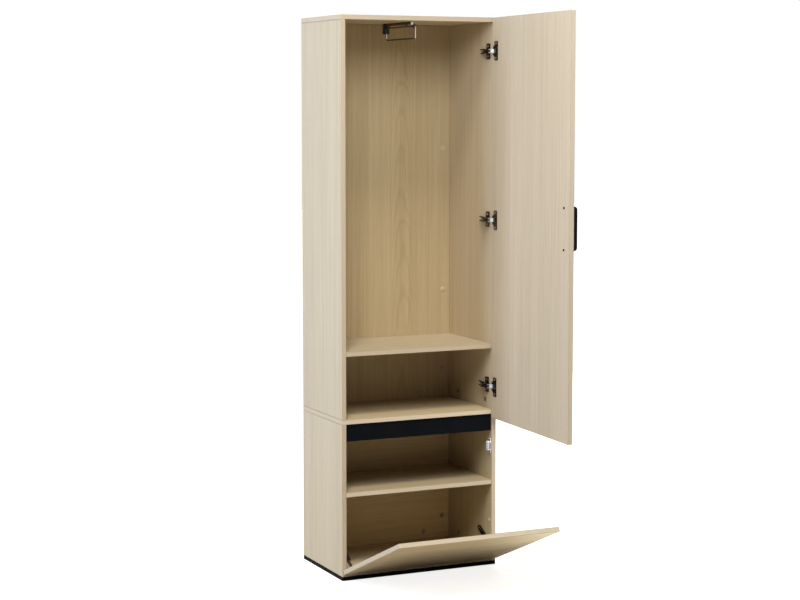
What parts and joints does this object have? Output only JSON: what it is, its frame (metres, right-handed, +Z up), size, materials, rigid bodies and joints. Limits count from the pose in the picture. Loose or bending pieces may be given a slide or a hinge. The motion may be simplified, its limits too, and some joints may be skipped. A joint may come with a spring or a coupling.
{
  "type": "hallway wardrobe",
  "caption": "Tall narrow wardrobe with a hinged door over a hanging space with pull-out rail and shelf, and a drop-down flap below.",
  "frame": {"origin": "middle of the carcass underside, on the floor", "axes": "+Z up, +Y to the back, +X to the right as seen from the front; the front faces -Y"},
  "size_m": [0.557, 0.9014, 1.82],
  "materials": {
    "laminate": "pale fine-grained wood laminate, satin",
    "black_finish": "near-black satin coating",
    "dark_steel": "dark bronzed steel",
    "bright_steel": "nickel-plated steel",
    "white_plastic": "white moulded plastic"
  },
  "bodies": {
    "carcass": {"back_lower": "laminate", "back_upper": "laminate", "base_board": "black_finish", "bottom_panel": "laminate", "catch_body": "white_plastic", "catch_magnet": "bright_steel", "flap_arm_1": "dark_steel", "flap_arm_2": "dark_steel", "flap_plate_1": "dark_steel", "flap_plate_2": "dark_steel", "grip_strip": "black_finish", "hinge_arm_1": "dark_steel", "hinge_arm_2": "dark_steel", "hinge_arm_3": "dark_steel", "hinge_plate_1": "dark_steel", "hinge_plate_2": "dark_steel", "hinge_plate_3": "dark_steel", "mid_panel": "laminate", "rail_housing": "black_finish", "rail_track": "dark_steel", "shelf_lower": "laminate", "shelf_pin_left_front": "bright_steel", "shelf_pin_left_rear": "bright_steel", "shelf_pin_right_front": "bright_steel", "shelf_pin_right_rear": "bright_steel", "shelf_upper": "laminate", "side_cap": "white_plastic", "side_lower_left": "laminate", "side_lower_right": "laminate", "side_upper_left": "laminate", "side_upper_right": "laminate", "stay_pin_left": "bright_steel", "stay_pin_right": "bright_steel", "top_panel": "laminate"},
    "door_links": {"door_link_1": "bright_steel", "door_link_2": "bright_steel", "door_link_3": "bright_steel"},
    "door": {"door_panel": "laminate", "door_cup_1": "dark_steel", "door_cup_2": "dark_steel", "door_cup_3": "dark_steel", "door_handle": "black_finish", "door_pad": "white_plastic"},
    "flap_links": {"flap_link_1": "bright_steel", "flap_link_2": "bright_steel"},
    "flap": {"flap_panel": "laminate", "flap_cup_1": "dark_steel", "flap_cup_2": "dark_steel", "catch_strike": "bright_steel", "stay_bracket_left": "dark_steel", "stay_bracket_right": "dark_steel"},
    "stay_left": {"stay_left": "dark_steel"},
    "stay_right": {"stay_right": "dark_steel"},
    "rail": {"rail_runner": "dark_steel", "rail_block": "black_finish", "hanger_loop": "bright_steel"}
  },
  "joints": [
    {"name": "door_link_swing", "type": "hinge", "parent": "carcass", "child": "door_links", "pos_m": [0.244, -0.1762, 1.1585], "axis": [0, 0, 1], "range_deg": [-1.71, 35.62]},
    {"name": "door_swing", "type": "hinge", "parent": "door_links", "child": "door", "pos_m": [0.26149, -0.18957, 1.1585], "axis": [0, 0, 1], "range_deg": [-122.82, 4.91]},
    {"name": "flap_link_swing", "type": "hinge", "parent": "carcass", "child": "flap_links", "pos_m": [0, -0.1762, 0.0547], "axis": [1, 0, 0], "range_deg": [-0.3, 27.47]},
    {"name": "flap_drop", "type": "hinge", "parent": "flap_links", "child": "flap", "pos_m": [0, -0.18696, 0.03549], "axis": [1, 0, 0], "range_deg": [-94.47, 0]},
    {"name": "stay_left_swing", "type": "hinge", "parent": "flap", "child": "stay_left", "pos_m": [-0.2575, -0.19239, 0.05489], "axis": [1, 0, 0], "range_deg": [-0.3, 80.86]},
    {"name": "stay_right_swing", "type": "hinge", "parent": "flap", "child": "stay_right", "pos_m": [0.2575, -0.19239, 0.05489], "axis": [1, 0, 0], "range_deg": [-0.3, 80.86]},
    {"name": "rail_pull", "type": "slide", "parent": "carcass", "child": "rail", "axis": [0, -1, 0], "range_m": [0, 0.03]}
  ],
  "couplings": [
    {"joint": "door_link_swing", "follows": "door_swing", "ratio": -0.2876},
    {"joint": "flap_link_swing", "follows": "flap_drop", "ratio": -0.2876},
    {"joint": "stay_left_swing", "follows": "flap_drop", "ratio": -0.85275},
    {"joint": "stay_right_swing", "follows": "flap_drop", "ratio": -0.85275}
  ]
}
